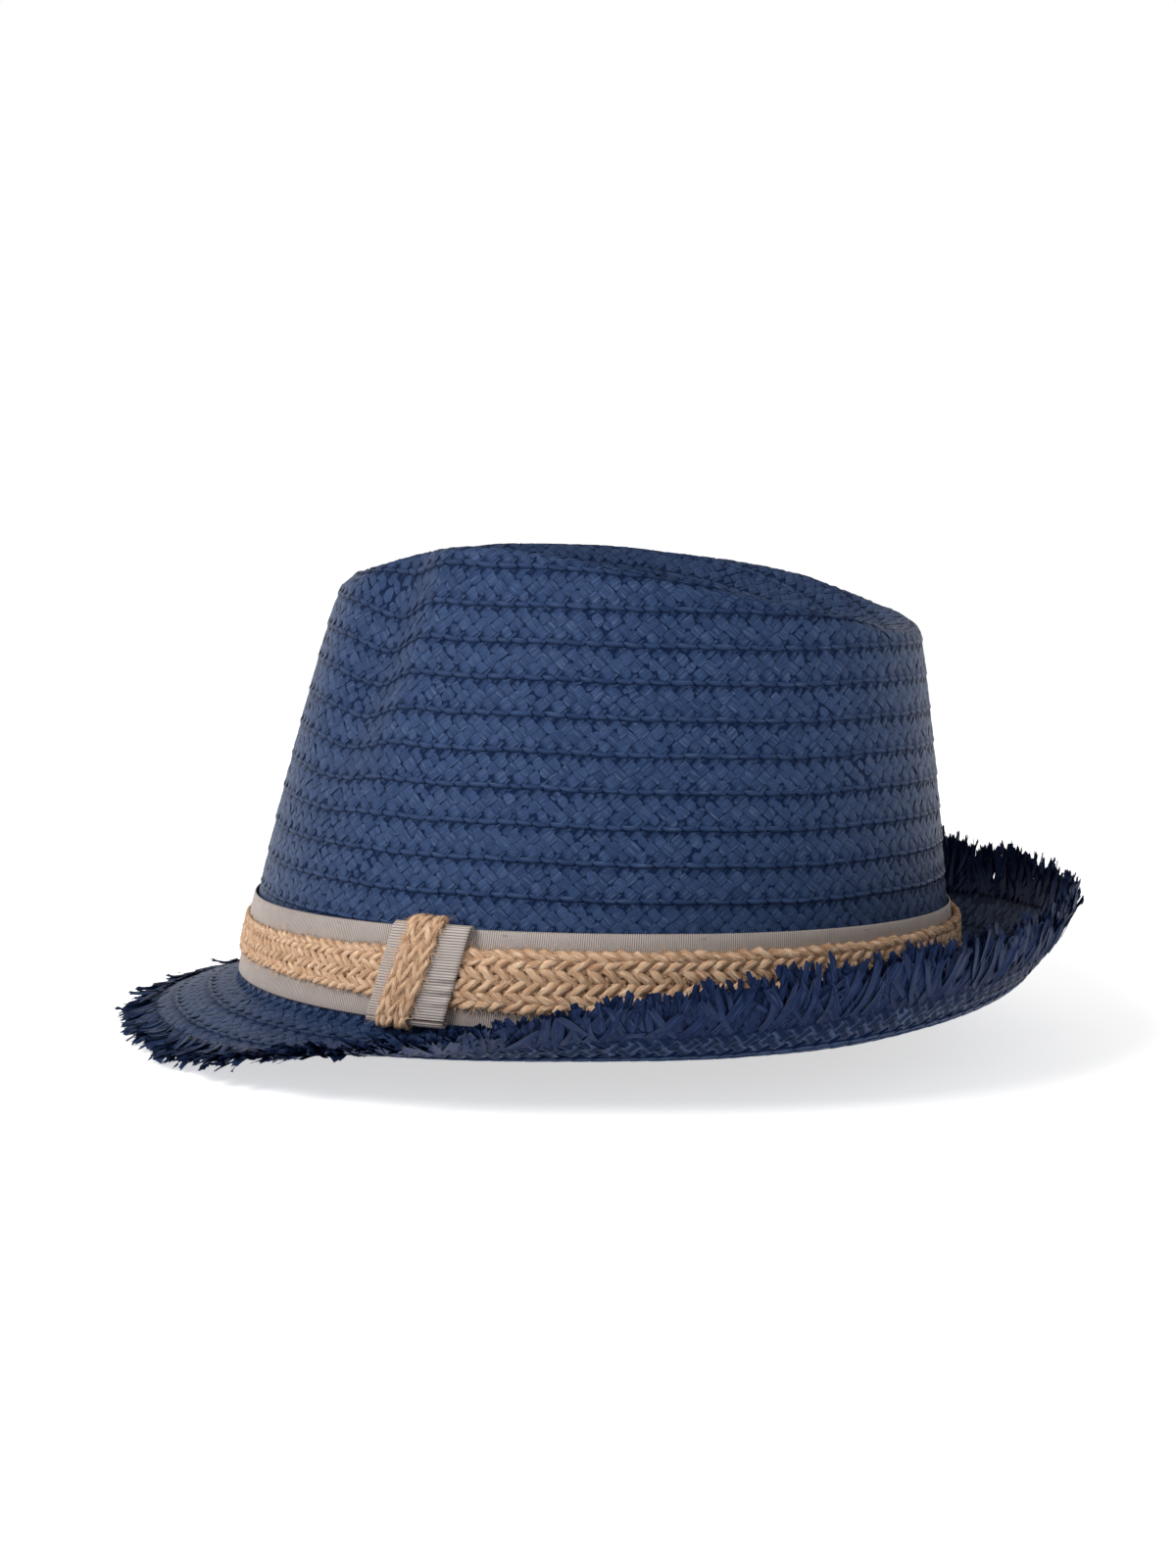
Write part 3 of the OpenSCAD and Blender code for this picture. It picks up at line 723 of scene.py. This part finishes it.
def ribbon():
    phi, gone = round_band(RIBBON_OFF, 0, 360)
    ribs = round(gone[-1] / RIBBON_RIB)
    s = np.arange(2 * ribs) * gone[-1] / (2 * ribs)
    a = np.interp(s, gone, phi)
    side = from_front(a)
    foot, top = eased(side, RIBBON_FOOT, BAND_REACH), eased(side, RIBBON_TOP, BAND_REACH)
    # Across the ribbon: in behind its foot, up its face and in behind its top
    t = np.array([0.03, 0.0, 0.012, 0.1, 0.22, 0.36, 0.5, 0.64, 0.78, 0.9, 0.988, 1.0, 0.97])
    deep = np.array([1, 0.5, 0.06, 0, 0, 0, 0, 0, 0, 0, 0.06, 0.5, 1.0])
    rib = np.cos(np.pi * np.arange(2 * ribs))
    d = foot[None] + (top - foot)[None] * t[:, None]
    at_edge = np.where((t > 0.99) | (t < 0.005), RIB_SCALLOP, 0) * np.where(t > 0.5, 1, -1)
    d = d + at_edge[:, None] * rib[None]
    slack = RIBBON_SLACK * smooth_noise(0.045 * s, 1.0)[None] * np.sin(np.pi * t)[:, None]
    ridged = RIB_HEIGHT * rib[None] * (deep < 0.4)[:, None]
    off = RIBBON_OFF - RIBBON_T * deep[:, None] + ridged + slack
    points = off_wall(np.broadcast_to(a, d.shape), d, off)
    uv = np.stack([np.broadcast_to(s, d.shape), d], -1)
    build = Build()
    build.add(points[None], uv[None], wrap_cols=True)
    piece = build.make("ribbon", GROSGRAIN, ["hatband_ribbon"])


JUTE_SIDES = 7
JUTE_LAY = 4.2         # millimetres in which the two plies of a strand go once round
PLY_DEPTH, JUTE_FLATNESS = 0.13, 0.72


def jute_plait(build, place, length, height, strands, bands, slope, radius, lift, step):
    """Flat braid whose strands zigzag from edge to edge, over some and under some.

    height gives the braid's height at a distance along it, bands is the number of crossings on the
    way from edge to edge, and radius is a share of the distance between strands.
    """
    s = np.arange(0, length + step / 2, step)
    tall = height(s)
    phase = np.concatenate([[0], np.cumsum(step / (2 * slope * (tall[1:] + tall[:-1]) / 2))])
    angle = np.radians(np.arange(JUTE_SIDES) * 360.0 / JUTE_SIDES)
    for i in range(strands):
        turn = (phase + i / strands) % 1
        up = np.where(turn < 0.5, 1.0, -1.0)
        raw = np.where(turn < 0.5, 2 * turn, 2 - 2 * turn)
        # The strand rounds its turns at the edges
        middle = 1 - 2 * raw
        q = 0.5 - 0.5 * np.tanh(2.2 * middle) / np.tanh(2.2) * 0.35 - 0.325 * middle
        across = q * tall
        spacing = 2 * slope * tall / strands / math.hypot(1, slope)
        weave = np.clip(1.5 * np.sin(np.pi * bands * raw), -1, 1) * up
        r = radius * spacing * (1 + 0.15 * smooth_noise(0.8 * s, i * 1.3))
        across = across + 0.2 * spacing * smooth_noise(0.33 * s, 4.0 + i * 2.7)
        h = lift * tall / tall.max() * weave + 0.08 * smooth_noise(0.7 * s, i * 2.1)
        direction = np.gradient(across, s)
        norm = np.hypot(1, direction)
        twist = 2 * np.pi * s / JUTE_LAY
        ply = 1 + PLY_DEPTH * np.cos(2 * (angle[None] - twist[:, None]))
        side = r[:, None] * ply * np.cos(angle)[None]
        ss = s[:, None] - side * (direction / norm)[:, None]
        vv = across[:, None] + side / norm[:, None]
        hh = h[:, None] + JUTE_FLATNESS * r[:, None] * ply * np.sin(angle)[None]
        around = np.broadcast_to(angle * 1.2, ss.shape)
        along = np.broadcast_to(s[:, None] * 1.15, ss.shape) + 37.0 * i + 0.9 * angle[None]
        uv = np.stack([around, along], -1)
        tone = np.broadcast_to((0.5 + 0.5 * smooth_noise(0.22 * s + i, i * 3.1))[:, None], ss.shape)
        # Painted shade: darker where a strand goes under the others and on each cord's side towards the
        # hat, with a little everywhere
        shade = np.clip(0.25 - 0.45 * weave[:, None] - 0.35 * np.sin(angle)[None], 0, 0.9)
        build.add(place(ss, vv, hh)[None], uv[None], tone[None], shade[None], wrap_cols=True)


FIBRE_WIDTH = 0.16


def fuzz(build, place, length, height, count, stand, long=(1.6, 5.0)):
    """Loose fibres that stand off the strands."""
    s0 = rng.uniform(0, length, count)
    edge = rng.random(count) < 0.3
    v0 = np.where(edge, np.round(rng.random(count)), rng.random(count)) * height(s0)
    heading = rng.uniform(0, 2 * np.pi, count)
    reach = rng.uniform(*long, count)
    t = np.linspace(0, 1, 5)[None]
    bend = heading[:, None] + rng.normal(0, 0.9, count)[:, None] * t
    s = s0[:, None] + reach[:, None] * t * np.cos(bend)
    v = v0[:, None] + reach[:, None] * t * np.sin(bend) * 0.8
    h = stand * (0.25 + rng.random(count)[:, None] * t * 1.6)
    thin = FIBRE_WIDTH * (1 - 0.7 * t)[..., None] * np.array([-0.5, 0.5])
    s = s[..., None] - np.sin(bend)[..., None] * thin
    v = v[..., None] + np.cos(bend)[..., None] * thin
    build.add(place(s, v, h[..., None] + 0 * s), tone=rng.random(count))


JUTE_MIDDLE = 2.05
JUTE_FULL = 15.5       # height at the sides; where it is pulled narrower it also lies flatter
JUTE_REACH = 6


def jute_band():
    phi, gone = round_band(JUTE_MIDDLE, KEEPER_AT - 3, KEEPER_AT + 363)

    def height(s):
        return eased(from_front(np.interp(s, gone, phi)), JUTE_HEIGHT, JUTE_REACH)

    def place(s, v, h):
        a = np.interp(s, gone, phi)
        side = from_front(a)
        middle = (eased(side, RIBBON_FOOT, BAND_REACH) + eased(side, RIBBON_TOP, BAND_REACH)) / 2
        tall = eased(side, JUTE_HEIGHT, JUTE_REACH)
        return off_wall(a, middle + v - tall / 2, JUTE_MIDDLE - 0.2 * (JUTE_FULL - tall) + h)

    build = Build()
    jute_plait(build, place, gone[-1], height, strands=12, bands=6, slope=1.6, radius=0.53,
               lift=0.5, step=0.95)
    fuzz(build, place, gone[-1], height, count=9000, stand=0.85)
    build.make("jute_band", JUTE, ["hatband_jute_braid"])


jute_band()
ribbon()

# --- Keeper ------------------------------------------------------------------------------------


def loop_path(low, high, back, face):
    """Path up the face of a loop and down behind it, as distances up the wall and off it."""
    half = (face - back) / 2
    turn = np.radians(np.arange(-90, 91, 15.0))
    top = np.stack([high + half * np.cos(turn), (face + back) / 2 - half * np.sin(turn)], -1)
    foot = np.stack([low - half * np.cos(turn), (face + back) / 2 + half * np.sin(turn)], -1)
    rise = np.linspace(low, high, 60)[1:-1]
    front = np.stack([rise, face + 0 * rise], -1)
    rear = np.stack([rise[::-1], back + 0 * rise], -1)
    path = np.concatenate([front, top, rear, foot])
    gone = np.concatenate([[0], np.cumsum(np.linalg.norm(np.diff(path, axis=0), axis=1))])
    return path, gone


# Slants in degrees over the height, and half widths: the tab's in degrees and the wrap's in millimetres
TAB_HALF, TAB_SLANT, TAB_TALL = 6.4, 2.6, 28.8
TAB_WEAVE = 10.6       # millimetres of weave in its half width
WRAP_AT, WRAP_HALF, WRAP_SLANT = 61.4, 4.2, 3.6
LOOP_TALL = 29
MM_PER_DEGREE = 1.76   # along the band, beside the keeper
# Foot and top of each loop, and how far its back and its face stand off the wall
TAB_LOOP = 2.4, 26.4, 0.4, 4.1
WRAP_LOOP = 2.2, 27.4, 0.9, 5.2


def tab_angle(d):
    return KEEPER_AT + TAB_SLANT * (d / TAB_TALL - 0.5)


def keeper_tab():
    path, gone = loop_path(*TAB_LOOP)
    ribs = round(gone[-1] / TAB_RIB)
    s = np.arange(4 * ribs + 1) * gone[-1] / (4 * ribs)
    d, off = np.interp(s, gone, path[:, 0]), np.interp(s, gone, path[:, 1])
    across = np.array([-1, -0.985, -0.9, -0.7, -0.45, -0.2, 0, 0.2, 0.45, 0.7, 0.9, 0.985, 1])
    wave = np.cos(2 * np.pi * s / gone[-1] * ribs)
    edge = np.abs(across) > 0.95
    a = tab_angle(d)[:, None] + TAB_HALF * across[None]
    a = a + 0.07 * wave[:, None] * np.sign(across) * edge
    rise = 0.16 * wave[:, None] * (1 - 0.5 * edge)[None] - 0.25 * (np.abs(across) > 0.99)[None]
    # The ribbon puckers beside the wrap and bows out in the middle
    pucker = 0.42 * np.exp(-((d - 11) / 5) ** 2)[:, None] * ramp(0.25, 0.8, across)[None]
    pucker = pucker * np.sin(1.9 * d)[:, None]
    bow = 0.35 * (1 - across ** 2)[None] * np.sin(np.pi * np.clip(d / LOOP_TALL, 0, 1))[:, None]
    up = d[:, None] + 0 * across[None]
    points = off_wall(a, up, off[:, None] + rise + pucker + bow)
    uv = np.stack([np.broadcast_to(s[:, None], up.shape), TAB_WEAVE * across[None] + 0 * up], -1)
    build = Build()
    build.add(points[None], uv[None])
    piece = build.make("keeper_tab", TAB_GROSGRAIN, ["keeper_ribbon_tab"])


def keeper_wrap():
    path, gone = loop_path(*WRAP_LOOP)

    def read(s, axis):
        return np.interp(s % gone[-1], gone, path[:, axis])

    def place(s, v, h):
        d, off = read(s, 0), read(s, 1)
        ahead, out = [read(s + 0.5, axis) - read(s - 0.5, axis) for axis in (0, 1)]
        norm = np.maximum(np.hypot(ahead, out), 0.05)
        side = (v - WRAP_HALF) / MM_PER_DEGREE
        a = WRAP_AT + WRAP_SLANT * (d / LOOP_TALL - 0.5) + side
        return off_wall(a, d - h * out / norm, off + h * ahead / norm)

    def width(s):
        return 2 * WRAP_HALF + 0 * np.asarray(s, float)

    build = Build()
    jute_plait(build, place, gone[-1], width, strands=10, bands=5, slope=3.0, radius=0.5,
               lift=0.4, step=0.7)
    # Only the face of the loop is hairy
    fuzz(build, place, gone[-1] * 0.48, width, count=700, stand=0.9, long=(1.5, 6.0))
    build.make("keeper_wrap", JUTE, ["keeper_jute_wrap"])


keeper_tab()
keeper_wrap()

# --- Inside: sweatband, tape, label and thread -------------------------------------------------

SWEAT_OFF, SWEAT_T = -3.22, 0.8
PATCH_OFF = -4.02
WEAVE_ROUND = 590      # millimetres of weave in a trip round the inside


def patch(name, ends, rise, off, thick, steps, material, replaced, roll=0.0):
    """Piece of cloth inside the crown: its face, its edges and its back as one closed skin.

    ends are its first and last angle, and rise is the span of heights that it covers.
    """
    low, high = ends
    foot, top = rise
    a = np.linspace(low, high, steps)
    t = np.array([0.0, 0.006, 0.05, 0.2, 0.4, 0.6, 0.8, 0.95, 0.994, 1.0])
    t = np.concatenate([t, t[::-1]])
    face = np.array([0.5, 0.1, 0, 0, 0, 0, 0, 0, 0.1, 0.5])
    deep = np.concatenate([face, 1 - face[::-1]])
    d = foot + (top - foot) * t[:, None]
    d = d + roll * smooth_noise(np.radians(a) * 5, 0.4)[None] * t[:, None]
    slack = 0.1 * smooth_noise(np.radians(a) * 9, 2.0)[None] * np.sin(np.pi * t)[:, None]
    points = off_wall(np.broadcast_to(a, d.shape), d, off - thick * (1 - deep[:, None]) + slack)
    around = (high - low) / 360 * WEAVE_ROUND
    uv = np.stack([np.broadcast_to((a - low) / (high - low) * around, d.shape), d], -1)
    build = Build()
    closed = high - low >= 359.9
    if closed:
        points, uv = points[:, :-1], uv[:, :-1]
    build.add(points[None], uv[None], wrap_rows=True, wrap_cols=closed)
    if not closed:
        build.cap_ends(*points.shape[:2])
    return build.make(name, material, [replaced])


def threads(name, ends, radius, sag, material, replaced):
    """Short stitches: each a thread that comes out, lies on the cloth and goes back in."""
    t = np.linspace(0, 1, 9)
    angle = np.radians(np.arange(6) * 60.0)
    build = Build()
    for first, last, off in ends:
        a = first[0] + (last[0] - first[0]) * t
        d = first[1] + (last[1] - first[1]) * t
        rise = off + sag * (1 - (2 * t - 1) ** 4) - sag
        line = off_wall(a, d, rise)
        ahead = np.gradient(line, axis=0)
        ahead /= np.linalg.norm(ahead, axis=1, keepdims=True)
        normal = off_wall(a, d, rise + 1) - line
        normal -= ahead * (normal * ahead).sum(1, keepdims=True)
        normal /= np.linalg.norm(normal, axis=1, keepdims=True)
        side = np.cross(ahead, normal)
        size = radius * (1 + 0.18 * np.cos(2 * (angle[None] - 9 * t[:, None])))
        ring = line[:, None] + size[..., None] * (np.cos(angle)[None, :, None] * normal[:, None]
                                                  + np.sin(angle)[None, :, None] * side[:, None])
        build.add(ring[None], wrap_cols=True)
    build.make(name, material, [replaced])


band = patch("sweatband_cloth", (0, 360), (1.0, 32), SWEAT_OFF, SWEAT_T, steps=361, roll=0.3,
             material=COTTON, replaced="sweatband")
tape = patch("seam_tape_cloth", (176.5, 183.5), (2, 31), PATCH_OFF, thick=0.5, steps=15,
             material=TAPE, replaced="sweatband_seam_tape")
label = patch("label_cloth_blank", (190, 207), (10, 24), PATCH_OFF, thick=0.3, steps=30,
              material=LABEL, replaced="size_label")


def stitch(angle, height, half_length, off):
    """Both ends of a stitch, and how far off the wall it lies."""
    return (angle - half_length, height), (angle + half_length, height), off


STITCH_COUNT, STITCH_HEIGHT, STITCH_HALF = 64, 3.2, 1.2
TACK_COUNT, TACK_BELOW, TACK_HALF = 12, 1.2, 0.5
stitches = [stitch(i * 360 / STITCH_COUNT, STITCH_HEIGHT, STITCH_HALF, SWEAT_OFF - 0.62)
            for i in range(STITCH_COUNT)]
threads("sweatband_thread", stitches, radius=0.2, sag=-0.35,
        material=THREAD, replaced="sweatband_stitches")
tack_angles = [360 / TACK_COUNT * (i + 0.5) for i in range(TACK_COUNT)]
tacks = [stitch(a, float(eased(from_front(a), RIBBON_TOP, BAND_REACH)) - TACK_BELOW, TACK_HALF,
                RIBBON_OFF + 0.1) for a in tack_angles]
threads("band_tack_thread", tacks, radius=0.16, sag=0.3,
        material=THREAD, replaced="band_tack_stitches")

# --- Stage -------------------------------------------------------------------------------------


def studio():
    """Plain pale floor under the hat, and a white surround."""
    floor_size = 60.0
    mesh = bpy.data.meshes.new("floor")
    low = min(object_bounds()[0][2], CAD_BOX[0][2])
    h = floor_size / 2
    mesh.from_pydata([(-h, -h, low), (h, -h, low), (h, h, low), (-h, h, low)], [], [(0, 1, 2, 3)])
    floor = bpy.data.objects.new("floor", mesh)
    bpy.context.scene.collection.objects.link(floor)
    material, _, shader = new_material("floor_white")
    shader.inputs["Base Color"].default_value = (0.9, 0.9, 0.9, 1)
    shader.inputs["Roughness"].default_value = 0.9
    shader.inputs["Emission Color"].default_value = (1, 1, 1, 1)
    shader.inputs["Emission Strength"].default_value = 0.6
    mesh.materials.append(material)
    floor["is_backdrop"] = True
    world = bpy.data.worlds.new("studio")
    world.use_nodes = True
    tree = world.node_tree
    back = tree.nodes["Background"]
    # White round the horizon and dimmer overhead, so that the lamps shape the hat
    place = node(tree, "ShaderNodeTexCoord")
    split = node(tree, "ShaderNodeSeparateXYZ")
    tree.links.new(place.outputs["Generated"], split.inputs[0])
    strength = ranged(tree, split.outputs["Z"], 0.2, 0.6, 1.0, 0.35)
    tree.links.new(strength, back.inputs["Strength"])
    back.inputs["Color"].default_value = (1, 1, 1, 1)
    bpy.context.scene.world = world
    bpy.context.scene.view_settings.view_transform = "Standard"


def light(name, place, aim, size, power):
    """Round soft light that points at a place."""
    data = bpy.data.lights.new(name, "AREA")
    data.shape = "DISK"
    data.size = size
    data.energy = power
    lamp = bpy.data.objects.new(name, data)
    lamp.location = place
    lamp.rotation_euler = (aim - lamp.location).to_track_quat("-Z", "Y").to_euler()
    bpy.context.scene.collection.objects.link(lamp)


def camera():
    """Side view from the wearer's left, from a little above the crown, with a slight roll."""
    eye = Vector((0.771, -0.0045, 0.154))
    lens = 61.4
    pitch = math.radians(7.23)
    roll = math.radians(0.82)
    data = bpy.data.cameras.new("camera")
    data.sensor_fit = "VERTICAL"
    data.sensor_height = 36.0
    data.lens = lens
    cam = bpy.data.objects.new("camera", data)
    forward = Vector((-math.cos(pitch), 0, -math.sin(pitch)))
    turn = forward.to_track_quat("-Z", "Y").to_matrix().to_4x4()
    cam.matrix_world = Matrix.Translation(eye) @ turn @ Matrix.Rotation(roll, 4, "Z")
    bpy.context.scene.collection.objects.link(cam)
    bpy.context.scene.camera = cam


studio()
light("key", place=Vector((0.8, -0.9, 1.1)), aim=Vector((0, 0, 0.05)), size=0.8, power=16)
camera()
